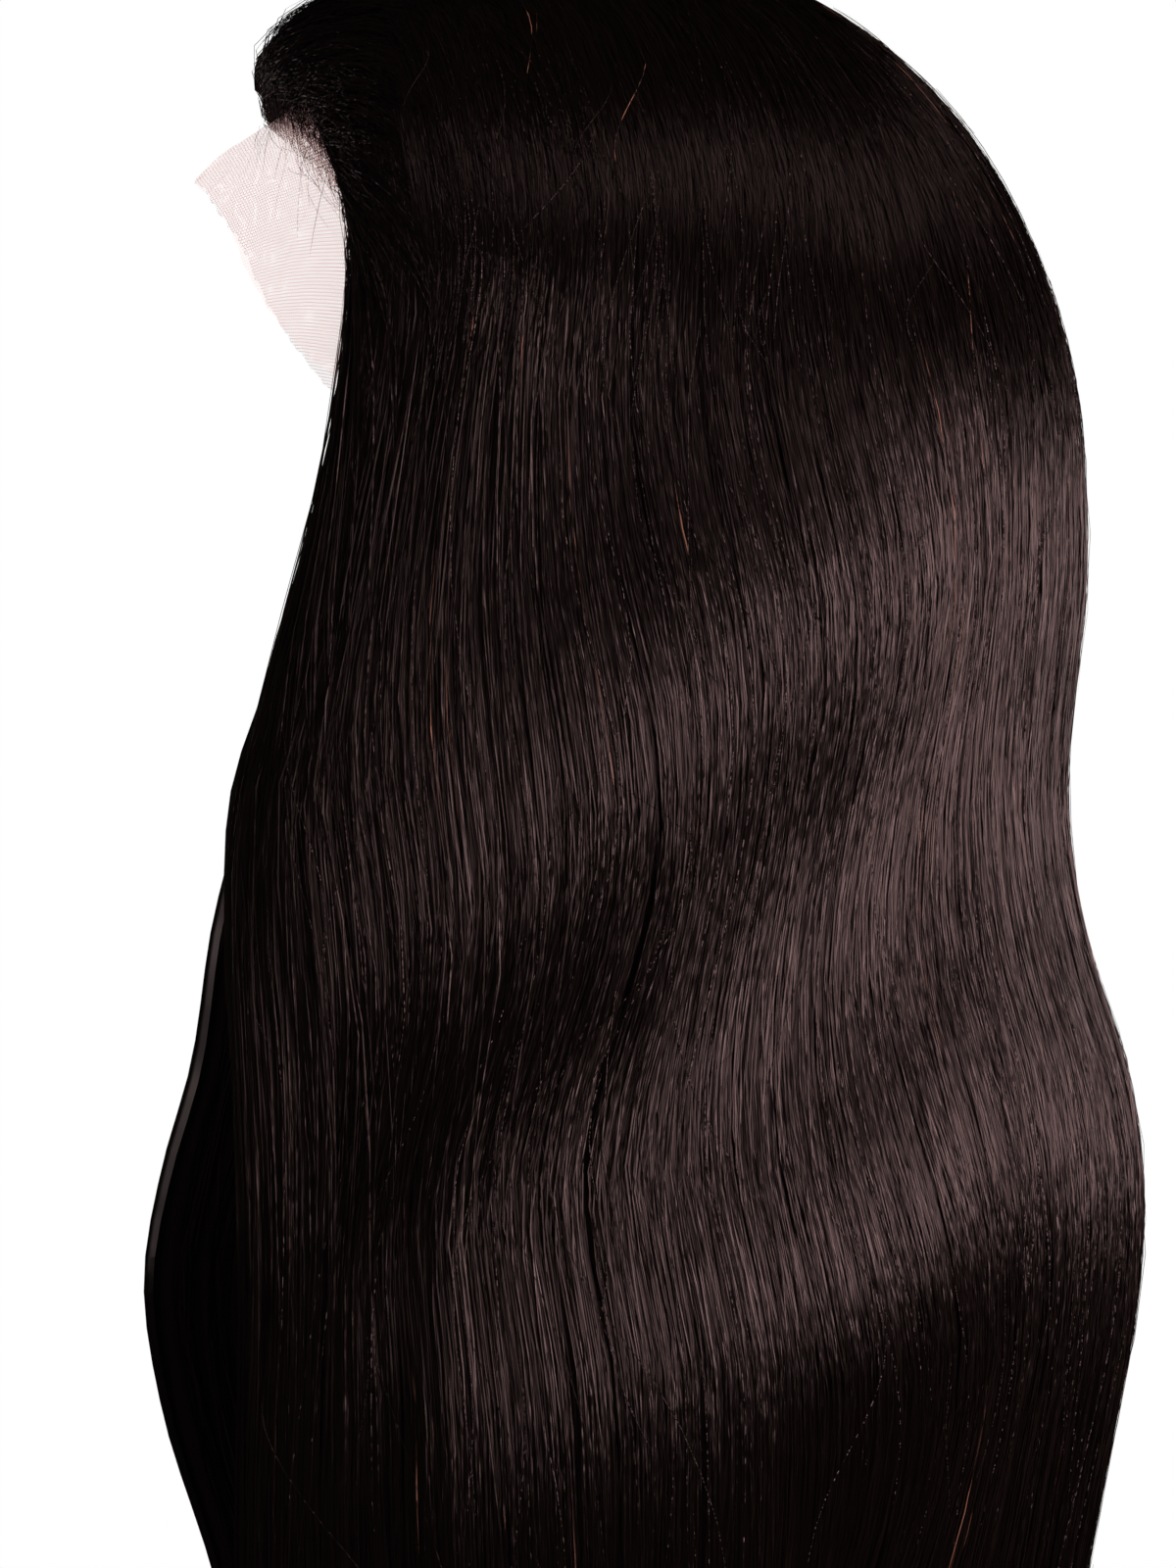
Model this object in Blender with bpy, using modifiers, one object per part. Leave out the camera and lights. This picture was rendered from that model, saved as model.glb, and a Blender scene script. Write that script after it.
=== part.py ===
"""A long straight lace front wig, in metres, +Z up, as it sits when worn.

The origin is the inside of the cap's crown, where the top of the head touches it. The face looks along -Y,
so the wearer's left is +X. The head itself is not built: the hollow under the cap is open.
The hair hangs in three sections from a centre parting and a crown point. Each section is one closed wall
whose outside is a row of locks, and it keeps a small gap to the cap, the lace and its neighbours.
"""

import math

import bmesh
import bpy
import numpy as np
from mathutils import Vector

MM = 0.001

# The head form that the cap is shaped to: an average cap, 574 mm round
HEAD_HALF_WIDTH = 75 * MM
HEAD_FRONT = 100 * MM
HEAD_BACK = 97 * MM
HEAD_RISE = 88 * MM
HEAD_FULLNESS = 2.6
HEAD_CENTRE = np.array([0.0, 0.0, -HEAD_RISE])

# The ear axis, from which the cap's panels are set out by angles (degrees): out from the middle towards
# an ear, and round from the face over the crown to the nape
EAR_AXIS = np.array([0.0, -4 * MM, -112 * MM])
EAR_CUTOUT = 62.0
SEAM = 93.0
SEAM_GAP = 0.3

CAP_WALL = 1.0 * MM
BAND_WALL = 2.0 * MM
BAND_WIDTH = 7.0
BAND_HALF_SPAN = 56.0
CAP_COLUMNS = 26
CAP_ROWS = 9
BAND_ROWS = 2
LACE_ROWS_ON_HEAD = 5
LACE_ROWS_FREE = 6

# The lace by the angle out from the middle of the forehead: where the hairline and the uncut edge lie
# (degrees round from the face), and how far the edge stands off the forehead (mm)
LACE_NAMES = ("out", "hairline", "edge", "lift")
LACE_TABLE = (
    (0.0, 46.0, 32.0, 15.0),
    (8.0, 46.0, 31.0, 12.0),
    (16.0, 45.8, 29.0, 6.5),
    (24.0, 45.5, 22.5, 2.2),
    (32.0, 44.5, 16.0, 0.8),
    (42.0, 40.0, 8.5, 0.3),
    (52.0, 25.0, 4.0, 0.0),
    (62.0, 14.0, 2.5, 0.0),
)
LACE_CURL = 1.2
LACE_RIPPLE = 1.4 * MM
LACE_RIPPLE_WIDTH = 22.5

# The cap's lower rim at the nape, by the angle out from the middle (degrees)
NAPE_NAMES = ("out", "rim")
NAPE_TABLE = ((0.0, 201.0), (25.0, 200.0), (45.0, 196.0), (62.0, 184.0))

# The top of the hair along the parting, from the crown point (share 0) to the front (share 1), in mm
PARTING_NAMES = ("share", "y", "z")
PARTING_TABLE = (
    (0.0, 8.0, 14.4),
    (0.2, -10.0, 14.9),
    (0.45, -34.0, 13.6),
    (0.7, -60.0, 10.4),
    (0.85, -80.0, 5.0),
    (0.92, -90.0, -2.0),
    (0.965, -94.8, -10.5),
    (1.0, -94.6, -20.0),
)
PARTING_GAP = 0.4 * MM
CROWN_GAP = 0.9 * MM
PARTING_DIP = 4.5 * MM
PARTING_HALF_WIDTH = 9 * MM
PARTING_END = 30 * MM

# The hanging hair by height, in mm: its half width, how far back it reaches, the front edges of the left
# and the right section, and the thickness of hair at the sides and at the back
LEVEL_NAMES = ("z", "half_width", "back", "left_front", "right_front", "side_wall", "back_wall")
LEVEL_TABLE = (
    (-80.0, 98.0, 129.0, -66.0, -66.0, 15.0, 24.0),
    (-105.0, 100.0, 129.3, -68.5, -68.5, 17.0, 27.0),
    (-130.0, 101.0, 129.8, -72.5, -72.5, 21.0, 34.0),
    (-156.0, 100.5, 130.0, -79.5, -80.0, 24.0, 41.0),
    (-182.0, 99.0, 127.2, -87.5, -89.0, 25.0, 42.0),
    (-209.0, 98.0, 124.6, -96.5, -100.0, 25.0, 40.0),
    (-245.0, 100.5, 129.0, -98.5, -110.5, 26.0, 38.0),
    (-290.0, 106.0, 142.5, -96.0, -118.0, 28.0, 40.0),
    (-318.0, 108.0, 146.0, -95.0, -126.0, 28.0, 41.0),
    (-350.0, 106.5, 144.0, -94.5, -131.0, 27.0, 38.0),
    (-385.0, 103.0, 137.5, -95.5, -126.0, 25.0, 34.0),
    (-432.0, 98.0, 128.5, -95.5, -111.0, 21.0, 27.0),
    (-470.0, 93.0, 121.0, -94.0, -101.0, 16.0, 19.0),
    (-510.0, 88.0, 114.0, -91.0, -96.0, 10.0, 11.0),
)
TOP_LEVEL = LEVEL_TABLE[0][0] * MM
WIDEST_Y = 15 * MM
HANG_LEVEL = -130 * MM
FRONT_HANG_LEVEL = -80 * MM
TIP_LEVEL = -484 * MM

# The sections of hair, by the angle round from the middle of the back (degrees)
BACK_HALF_ANGLE = 52.0
FRONT_ANGLE = 135.0
SECTION_GAP = 0.14
SIDE_START, SIDE_FULL = 25.0, 75.0

# How far the side sections are squarer than a quarter of an oval, from the parting down to the ear
SIDE_FULLNESS = 0.88
FULLNESS_EDGE = 0.25

# A gentle wave in the side hair: its height, the drop from crest to crest, where it starts, how much
# later it comes towards the face, the angles it fades in and out between, and the depth it starts at
WAVE_HEIGHT = 3.6 * MM
WAVE_DROP = 182 * MM
WAVE_START = -101 * MM
WAVE_LAG = 0.68 * MM
WAVE_ANGLES = (50.0, 75.0, 118.0, 134.0)
WAVE_DEPTHS = (110 * MM, 170 * MM)

# Locks: how far one stands proud at the crown and at the tips, and how its end hangs lower than its sides
LOCKS = 8
STEPS_PER_LOCK = 3
LOCK_RELIEF_TOP = 0.8 * MM
LOCK_RELIEF_TIP = 3.6 * MM
LOCK_DEPTHS = (30 * MM, 420 * MM)
LOCK_VARIETY = 0.2
LOCK_POINT = 15 * MM
LOCK_UNEVENNESS = 8 * MM
LOCK_TURN = 2.1
ROOT_ROWS = 3

DOME_STEPS = 10
HANG_STEPS = 16

# Where the inside of the hair leaves the cap and hangs free, and the least gap and wall over the cap
FREE_DEPTHS = (88 * MM, 135 * MM)
HAIR_CLEARANCE = 2.1 * MM
LEAST_WALL = 2.2 * MM
FRONT_TAPER = 0.65
FRONT_TAPER_START = 0.8

HAIR_COLOUR = (0.018, 0.011, 0.009)
LACE_COLOUR = (0.80, 0.66, 0.60)
NET_COLOUR = (0.028, 0.020, 0.018)
BAND_COLOUR = (0.020, 0.016, 0.015)


# Tables and curves

def column(names, table, name):
    """One named column of a table."""
    return np.array([row[names.index(name)] for row in table], float)


def curve_through(knots, values, at):
    """A smooth curve through a table's values: cubic between rows, with slopes taken from the neighbours."""
    if knots[0] > knots[-1]:
        knots, values = knots[::-1], values[::-1]
    slopes = np.gradient(values, knots)
    at = np.clip(at, knots[0], knots[-1])
    row = np.clip(np.searchsorted(knots, at) - 1, 0, len(knots) - 2)
    span = knots[row + 1] - knots[row]
    share = (at - knots[row]) / span
    rise = values[row + 1] - values[row]
    start, end = slopes[row] * span, slopes[row + 1] * span
    square = 3 * rise - 2 * start - end
    cube = start + end - 2 * rise
    return values[row] + share * (start + share * (square + share * cube))


def ease(value, start, end):
    """0 before start, 1 after end, and a smooth step between them."""
    share = np.clip((value - start) / (end - start), 0.0, 1.0)
    return share * share * (3 - 2 * share)


def lace_size(name, out):
    knots = column(LACE_NAMES, LACE_TABLE, "out")
    return curve_through(knots, column(LACE_NAMES, LACE_TABLE, name), np.abs(out))


def nape_rim(out):
    knots = column(NAPE_NAMES, NAPE_TABLE, "out")
    return curve_through(knots, column(NAPE_NAMES, NAPE_TABLE, "rim"), np.abs(out))


def parting_place(name, share):
    knots = column(PARTING_NAMES, PARTING_TABLE, "share")
    return curve_through(knots, column(PARTING_NAMES, PARTING_TABLE, name) * MM, share)


def hair_size(name, z):
    """One size of the hanging hair at a height."""
    heights = column(LEVEL_NAMES, LEVEL_TABLE, "z") * MM
    return curve_through(heights, column(LEVEL_NAMES, LEVEL_TABLE, name) * MM, z)


# The head form

def head_gauge(offset):
    """How far out a point is from the head's centre: 1 on the head form, less inside it."""
    length = np.where(offset[..., 1] < 0, HEAD_FRONT, HEAD_BACK)
    shares = (offset[..., 0] / HEAD_HALF_WIDTH, offset[..., 1] / length, offset[..., 2] / HEAD_RISE)
    return sum(np.abs(share) ** HEAD_FULLNESS for share in shares) ** (1 / HEAD_FULLNESS)


def beside_head(points, clearance):
    """Each point moved along its line from the head's centre until it lies this far off the head form."""
    offset = points - HEAD_CENTRE
    touching = offset / head_gauge(offset)[..., None]
    reach = np.linalg.norm(touching, axis=-1, keepdims=True)
    return HEAD_CENTRE + touching * (1 + clearance / reach)


def clear_of_head(points, clearance):
    """Points that lie closer to the head form than this are moved out to it. The others stay."""
    seat = beside_head(points, clearance)
    reach = np.linalg.norm(points - HEAD_CENTRE, axis=-1)
    near = reach < np.linalg.norm(seat - HEAD_CENTRE, axis=-1)
    return np.where(near[..., None], seat, points)


def on_head(out, turn, lift=0.0):
    """The head form's point in a direction from the ear axis, found by halving the distance to it."""
    out, turn = np.radians(out), np.radians(turn)
    way = np.stack([np.sin(out), -np.cos(out) * np.cos(turn), np.cos(out) * np.sin(turn)], axis=-1)
    near, far = np.zeros(way.shape[:-1]), np.full(way.shape[:-1], 3 * HEAD_RISE)
    for _ in range(40):
        middle = (near + far) / 2
        inside = head_gauge(EAR_AXIS + way * middle[..., None] - HEAD_CENTRE) < 1
        near, far = np.where(inside, middle, near), np.where(inside, far, middle)
    return EAR_AXIS + way * (near + lift)[..., None]


# Making objects

def material(name, colour, roughness):
    made = bpy.data.materials.new(name)
    made.use_nodes = True
    shader = made.node_tree.nodes["Principled BSDF"]
    shader.inputs["Base Color"].default_value = (*colour, 1.0)
    shader.inputs["Roughness"].default_value = roughness
    shader.inputs["Metallic"].default_value = 0.0
    return made


def grid_faces(columns, rows, first=0):
    """The quads of a grid whose points run down each column in turn."""
    at = [[first + c * rows + r for r in range(rows)] for c in range(columns)]
    return [
        (at[c][r], at[c + 1][r], at[c + 1][r + 1], at[c][r + 1])
        for c in range(columns - 1)
        for r in range(rows - 1)
    ]


def add_object(name, points, faces, skin, collection):
    """A mesh object with doubled points merged, faces turned outwards and smooth shading."""
    mesh = bpy.data.meshes.new(name)
    mesh.from_pydata([tuple(point) for point in points], [], faces)
    mesh.materials.append(skin)
    tidy = bmesh.new()
    tidy.from_mesh(mesh)
    bmesh.ops.remove_doubles(tidy, verts=tidy.verts, dist=0.01 * MM)
    bmesh.ops.recalc_face_normals(tidy, faces=tidy.faces)
    tidy.to_mesh(mesh)
    tidy.free()
    mesh.shade_smooth()
    made = bpy.data.objects.new(name, mesh)
    collection.objects.link(made)
    return made


def add_panel(name, surface, wall, skin, collection):
    """A cloth panel: an open surface on the head form, thickened outwards."""
    columns, rows = surface.shape[:2]
    panel = add_object(name, surface.reshape(-1, 3), grid_faces(columns, rows), skin, collection)
    centre = Vector(HEAD_CENTRE)
    if sum(face.normal.dot(face.center - centre) for face in panel.data.polygons) < 0:
        panel.data.flip_normals()
    thicken = panel.modifiers.new("thicken", "SOLIDIFY")
    thicken.thickness = wall
    thicken.offset = 1.0
    thicken.use_even_offset = True


def add_wall(name, outside, inside, skin, collection):
    """A closed wall lofted between two grids of the same size, which are joined all round their rims."""
    columns, rows = outside.shape[:2]
    count = columns * rows
    rim = [c * rows for c in range(columns)]
    rim += [(columns - 1) * rows + r for r in range(1, rows)]
    rim += [c * rows + rows - 1 for c in range(columns - 2, -1, -1)]
    rim += list(range(rows - 2, 0, -1))
    faces = grid_faces(columns, rows) + grid_faces(columns, rows, count)
    faces += [(a, b, b + count, a + count) for a, b in zip(rim, rim[1:] + rim[:1])]
    points = np.concatenate([outside.reshape(-1, 3), inside.reshape(-1, 3)])
    add_object(name, points, faces, skin, collection)


# The cap and the lace

def panel_columns(half_span):
    return np.linspace(-half_span, half_span, CAP_COLUMNS + 1)[:, None]


def steps_between(start, end, steps):
    """Rows of a panel from one line to another, both lines included."""
    return start + (end - start) * np.linspace(0, 1, steps + 1)[None, :]


def make_lace_front(skin, collection):
    """The sheer panel from ear to ear: sewn to the cap behind, uncut and hanging free past the hairline."""
    out = panel_columns(EAR_CUTOUT)
    hairline = lace_size("hairline", out)
    sewn = steps_between(SEAM, hairline, LACE_ROWS_ON_HEAD)
    free = steps_between(hairline, lace_size("edge", out), LACE_ROWS_FREE)[:, 1:]
    lift = np.maximum(lace_size("lift", out), 0) * MM
    lift += LACE_RIPPLE * np.sin(2 * math.pi * out / LACE_RIPPLE_WIDTH) * lift / lift.max()
    free_lift = lift * np.linspace(0, 1, LACE_ROWS_FREE + 1)[None, 1:] ** LACE_CURL
    turn = np.concatenate([sewn, free], axis=1)
    lifts = np.concatenate([0 * sewn, free_lift], axis=1)
    add_panel("lace_front", on_head(out + 0 * turn, turn, lifts), CAP_WALL, skin, collection)


def make_cap_net(skin, collection):
    """The stretch net from the lace's seam over the crown to the nape, with the ears left free."""
    out = panel_columns(EAR_CUTOUT)
    turn = steps_between(SEAM + SEAM_GAP, nape_rim(out), CAP_ROWS)
    add_panel("cap_net", on_head(out + 0 * turn, turn), CAP_WALL, skin, collection)


def make_nape_band(skin, collection):
    """The elastic band that holds the cap on, along the nape from ear to ear."""
    out = panel_columns(BAND_HALF_SPAN)
    top = nape_rim(out) + SEAM_GAP
    turn = steps_between(top, top + BAND_WIDTH, BAND_ROWS)
    add_panel("nape_band", on_head(out + 0 * turn, turn), BAND_WALL, skin, collection)


# The hair

def hanging_point(angle, z, side):
    """The hair's outside at a height, at an angle round from the middle of the back.

    Behind its widest line the section is half an oval. Ahead of it, a second oval ends at the front edge.
    """
    turn = np.radians(angle)
    front = np.where(side > 0, hair_size("left_front", z), hair_size("right_front", z))
    behind = (hair_size("back", z) - WIDEST_Y) * np.cos(turn)
    ahead = (WIDEST_Y - front) * np.cos(turn) / -math.cos(math.radians(FRONT_ANGLE))
    y = WIDEST_Y + np.where(np.cos(turn) > 0, behind, ahead)
    return np.stack([hair_size("half_width", z) * np.sin(turn), y, z + 0 * turn], axis=-1)


def outward(angle, z, side):
    """The level direction square to the hair's outside."""
    along = hanging_point(angle + 0.5, z, side) - hanging_point(angle - 0.5, z, side)
    way = np.stack([-along[..., 1], along[..., 0], 0 * z], axis=-1)
    return way / np.linalg.norm(way, axis=-1, keepdims=True)


def parting_dip(points):
    """How far the hair sinks at the parting. The dip fades out behind the crown point."""
    crown = parting_place("y", 0.0)
    beside = np.exp(-((points[..., 0] / PARTING_HALF_WIDTH) ** 2))
    return PARTING_DIP * beside * (1 - ease(points[..., 1], crown, crown + PARTING_END))


def over_head(angles, roots, hang, fullness, side):
    """The columns on the head: from the root, each is a quarter of an oval out and down to its hang level."""
    turn = np.linspace(0, math.pi / 2, DOME_STEPS + 1)[None, :]
    out, down = np.sin(turn) ** fullness, np.cos(turn) ** fullness
    edge = hanging_point(angles, hang, side)
    dome = roots + (edge - roots) * out[..., None]
    dome[..., 2] = hang + (roots[..., 2] - hang) * down
    dome[..., 2] -= parting_dip(dome)
    return dome


def locks_across(share, seed):
    """For each column of a section: 1 on a lock and 0 between two, and a size from -1 to 1 for its lock."""
    steps = np.round(share * LOCKS * STEPS_PER_LOCK)
    on_lock = (steps % STEPS_PER_LOCK > 0).astype(float)
    return on_lock, np.sin(LOCK_TURN * np.floor(steps / STEPS_PER_LOCK) + seed)


def side_wave(angles, z):
    """The wave of the side hair. It comes later towards the face."""
    rise, full, fall, end = WAVE_ANGLES
    place = (WAVE_START - z - WAVE_LAG * (angles - SIDE_START)) / WAVE_DROP
    across = ease(angles, rise, full) * (1 - ease(angles, fall, end))
    return WAVE_HEIGHT * np.sin(2 * math.pi * place) * across * ease(-z, *WAVE_DEPTHS)


def make_section(name, angles, share, roots, hang, fullness, taper, seed, skin, collection):
    """One section of hair, a closed wall of columns that run from root to tip.

    Its inside follows the cap, and below the cap it lies the hair's thickness behind the outside.
    """
    angles, share, hang = angles[:, None], share[:, None], hang[:, None]
    fullness, taper, roots = fullness[:, None], taper[:, None], roots[:, None, :]
    side = np.where(angles < 0, -1.0, 1.0)
    on_lock, size = locks_across(share, seed)

    dome = over_head(angles, roots, hang, fullness, side)
    tips = TIP_LEVEL - on_lock * (LOCK_POINT - LOCK_UNEVENNESS * size)
    hanging = hanging_point(angles, steps_between(hang, tips, HANG_STEPS)[:, 1:], side)
    outside = np.concatenate([dome, hanging], axis=1)

    z = outside[..., 2]
    height = np.minimum(z, TOP_LEVEL)
    way = outward(angles + 0 * z, height, side)
    around = np.abs(angles) + 0 * z
    relief = LOCK_RELIEF_TOP + (LOCK_RELIEF_TIP - LOCK_RELIEF_TOP) * ease(-z, *LOCK_DEPTHS)
    relief = relief * on_lock * (1 - LOCK_VARIETY * (1 - size))
    relief = relief * ease(np.arange(z.shape[1])[None, :], 0, ROOT_ROWS)
    outside = outside + way * (relief + side_wave(around, z))[..., None]

    to_side = ease(around, SIDE_START, SIDE_FULL)
    wall = hair_size("back_wall", height) * (1 - to_side) + hair_size("side_wall", height) * to_side
    hung = outside - way * (wall * (1 - taper))[..., None]
    seated = beside_head(outside, HAIR_CLEARANCE)
    free = ease(-z, *FREE_DEPTHS)[..., None]
    inside = clear_of_head(seated * (1 - free) + hung * free, HAIR_CLEARANCE)
    outside = clear_of_head(outside, HAIR_CLEARANCE + LEAST_WALL)
    add_wall(name, outside, inside, skin, collection)


def section_share():
    return np.linspace(0, 1, LOCKS * STEPS_PER_LOCK + 1)


def make_hair_side(name, side, seed, skin, collection):
    """A side section, from the parting to the tips. Its last column is the hairline and the front edge."""
    share = section_share()
    start = BACK_HALF_ANGLE + SECTION_GAP
    angles = side * (start + (FRONT_ANGLE - start) * share)
    beside = side * PARTING_GAP + 0 * share
    roots = np.stack([beside, parting_place("y", share), parting_place("z", share)], axis=-1)
    hang = HANG_LEVEL + (FRONT_HANG_LEVEL - HANG_LEVEL) * ease(share, 0.5, 1)
    at_edges = ease(share, 1 - FULLNESS_EDGE, 1) + 1 - ease(share, 0, FULLNESS_EDGE)
    fullness = SIDE_FULLNESS + (1 - SIDE_FULLNESS) * at_edges
    taper = FRONT_TAPER * np.clip((share - FRONT_TAPER_START) / (1 - FRONT_TAPER_START), 0, 1) ** 2
    make_section(name, angles, share, roots, hang, fullness, taper, seed, skin, collection)


def make_hair_back(name, seed, skin, collection):
    """The back section, which fans out from the crown point."""
    share = section_share()
    even = np.ones_like(share)
    angles = (BACK_HALF_ANGLE - SECTION_GAP) * (1 - 2 * share)
    crown = np.array([0.0, parting_place("y", 0.0) + CROWN_GAP, parting_place("z", 0.0)])
    roots = crown * even[:, None]
    make_section(name, angles, share, roots, HANG_LEVEL * even, even, 0 * even, seed, skin, collection)


def main():
    for old in list(bpy.data.objects):
        bpy.data.objects.remove(old)
    wig = bpy.data.collections.new("lace_front_wig")
    bpy.context.scene.collection.children.link(wig)

    make_lace_front(material("lace", LACE_COLOUR, 0.80), wig)
    make_cap_net(material("cap_net", NET_COLOUR, 0.85), wig)
    make_nape_band(material("band", BAND_COLOUR, 0.75), wig)

    hair = material("hair", HAIR_COLOUR, 0.42)
    make_hair_side("hair_left", 1, 0.4, hair, wig)
    make_hair_side("hair_right", -1, 1.7, hair, wig)
    make_hair_back("hair_back", 2.6, hair, wig)


main()
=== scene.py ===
import math

import bpy
import numpy as np
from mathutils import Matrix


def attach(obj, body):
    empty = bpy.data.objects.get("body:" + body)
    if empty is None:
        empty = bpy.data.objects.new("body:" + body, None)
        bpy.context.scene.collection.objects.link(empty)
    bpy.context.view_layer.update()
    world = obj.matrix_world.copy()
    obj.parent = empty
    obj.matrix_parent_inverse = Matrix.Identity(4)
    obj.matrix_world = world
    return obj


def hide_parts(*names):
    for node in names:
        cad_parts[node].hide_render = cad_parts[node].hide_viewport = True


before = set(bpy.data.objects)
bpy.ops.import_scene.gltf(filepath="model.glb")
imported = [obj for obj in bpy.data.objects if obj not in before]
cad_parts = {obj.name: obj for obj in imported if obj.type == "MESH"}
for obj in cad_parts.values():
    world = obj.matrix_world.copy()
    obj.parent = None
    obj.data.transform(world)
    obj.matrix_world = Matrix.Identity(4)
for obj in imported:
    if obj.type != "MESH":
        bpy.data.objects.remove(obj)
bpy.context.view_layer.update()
mm = 0.001
rng = np.random.default_rng(22)

# Form of the hair. It is the solids' own, but for the sway, endFlare, frontHollow and the waves' reach.
# Angles are in degrees round from the middle of the back, positive on the left side as worn.
hairForm = {
    "backHalfAngle": 52.0,         # where the back section meets the side sections
    "frontAngle": 135.0,           # hairline and front edge
    "widestY": 15 * mm,
    "hangLevel": -130 * mm,        # below this the hair hangs free
    "frontHangLevel": -80 * mm,
    "tipLevel": -484 * mm,
    "sideFullness": 0.88,          # under 1 the side is squarer than an oval
    "dip": 4.5 * mm,               # depth of the parting
    "dipHalfWidth": 9 * mm,
    "dipEnd": 30 * mm,
    "waveHeight": 3.6 * mm,        # the body wave, square to the surface
    "waveDrop": 182 * mm,
    "waveStart": -101 * mm,
    "waveLag": 0.68 * mm,          # the wave comes this much lower for each degree towards the front
    "endFlare": 7.0 * mm,          # how far the ends near the front stand out from the solids
    "frontHollow": 3.5 * mm,       # how far the lower front edge lies in from the solids
    "swayHeight": 7.5 * mm,        # the body wave, along the surface
    "swayDrop": 207 * mm,
    "swayStart": -173 * mm,
    "swayLag": 1.35 * mm,
    "lagFrom": 25.0,               # degrees from which both lags count
    "sideRadius": 112 * mm,        # turns a way along the surface into an angle
}

# Levels of the hanging hair in mm, from the hang level at the hairline down to the tips
levels = {
    "z": (-80, -105, -130, -156, -182, -209, -245, -290, -318, -350, -385, -432, -470, -510),
    "halfWidth": (98, 100, 101, 100.5, 99, 98, 100.5, 106, 108, 106.5, 103, 98, 93, 88),
    "back": (129, 129.3, 129.8, 130, 127.2, 124.6, 129, 142.5, 146, 144, 137.5, 128.5, 121, 114),
    "leftFront": (-66, -68.5, -72.5, -79.5, -87.5, -96.5, -98.5, -96, -95, -94.5, -95.5, -95.5, -94, -91),
    "rightFront": (-66, -68.5, -72.5, -80, -89, -100, -110.5, -118, -126, -131, -126, -111, -101, -96),
    "sideWall": (15, 17, 21, 24, 25, 25, 26, 28, 28, 27, 25, 21, 16, 10),
    "backWall": (24, 27, 34, 41, 42, 40, 38, 40, 41, 38, 34, 27, 19, 11),
}

# Top of the hair along the parting in mm, from the crown point (share 0) to the front (share 1)
parting = {
    "share": (0, 0.2, 0.45, 0.7, 0.85, 0.92, 0.965, 1),
    "y": (8, -10, -34, -60, -80, -90, -94.8, -94.6),
    "z": (14.4, 14.9, 13.6, 10.4, 5, -2, -10.5, -20),
}

# Form that the cap is stretched on, a rounded box
capForm = {
    "halfWidth": 75 * mm,
    "front": 100 * mm,
    "back": 97 * mm,
    "rise": 88 * mm,
    "fullness": 2.6,
    "centre": np.array([0.0, 0.0, -0.088]),
    "hub": np.array([0.0, -0.004, -0.112]),
}

# Lace by the angle out from its middle: hairline and uncut edge in degrees up from the front, and the
# height in mm that the edge stands off the cap's form
laceForm = {
    "out": (0, 8, 16, 24, 32, 42, 52, 62),
    "hairline": (46, 46, 45.8, 45.5, 44.5, 40, 25, 14),
    "edge": (32, 31, 29, 22.5, 16, 8.5, 4, 2.5),
    "lift": (15, 12, 6.5, 2.2, 0.8, 0.3, 0, 0),
}


def curveThrough(knots, values, at):
    # cubic through each pair of knots, its slopes taken from the neighbours
    knots, values = np.array(knots, float), np.array(values, float)
    if knots[0] > knots[-1]:
        knots, values = knots[::-1], values[::-1]
    slopes = np.gradient(values, knots)
    at = np.clip(at, knots[0], knots[-1])
    row = np.clip(np.searchsorted(knots, at) - 1, 0, len(knots) - 2)
    span = knots[row + 1] - knots[row]
    s = (at - knots[row]) / span
    rise = values[row + 1] - values[row]
    start, end = slopes[row] * span, slopes[row + 1] * span
    return values[row] + s * (start + s * (3 * rise - 2 * start - end + s * (start + end - 2 * rise)))


def ease(value, start, end):
    # 3s^2 - 2s^3 between start and end
    s = np.clip((value - start) / (end - start), 0.0, 1.0)
    return s * s * (3 - 2 * s)


def unit(vectors):
    # each vector over its own length
    return vectors / np.maximum(np.linalg.norm(vectors, axis=-1, keepdims=True), 1e-12)


def level(name, z):
    # a column of the levels' table at any height, in metres
    return curveThrough(levels["z"], levels[name], z / mm) * mm


def hangingPoint(angle, z):
    # half an oval behind the widest line, and in front of it an oval that ends at the front edge
    turn = np.radians(angle)
    front = np.where(angle > 0, level("leftFront", z), level("rightFront", z))
    reachBack = level("back", z) - hairForm["widestY"]
    reachFront = (front - hairForm["widestY"]) / math.cos(math.radians(hairForm["frontAngle"]))
    y = hairForm["widestY"] + np.cos(turn) * np.where(np.cos(turn) > 0, reachBack, reachFront)
    return np.stack([level("halfWidth", z) * np.sin(turn), y, z + 0 * turn], axis=-1)


def hangLevelAt(angle):
    # share runs from 0 at the back section to 1 at the front edge; the level rises over its second half
    start, end = hairForm["backHalfAngle"], hairForm["frontAngle"]
    share = np.clip((np.abs(angle) - start) / (end - start), 0, 1)
    rise = (hairForm["frontHangLevel"] - hairForm["hangLevel"]) * ease(share, 0.5, 1)
    return hairForm["hangLevel"] + rise, share


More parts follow.
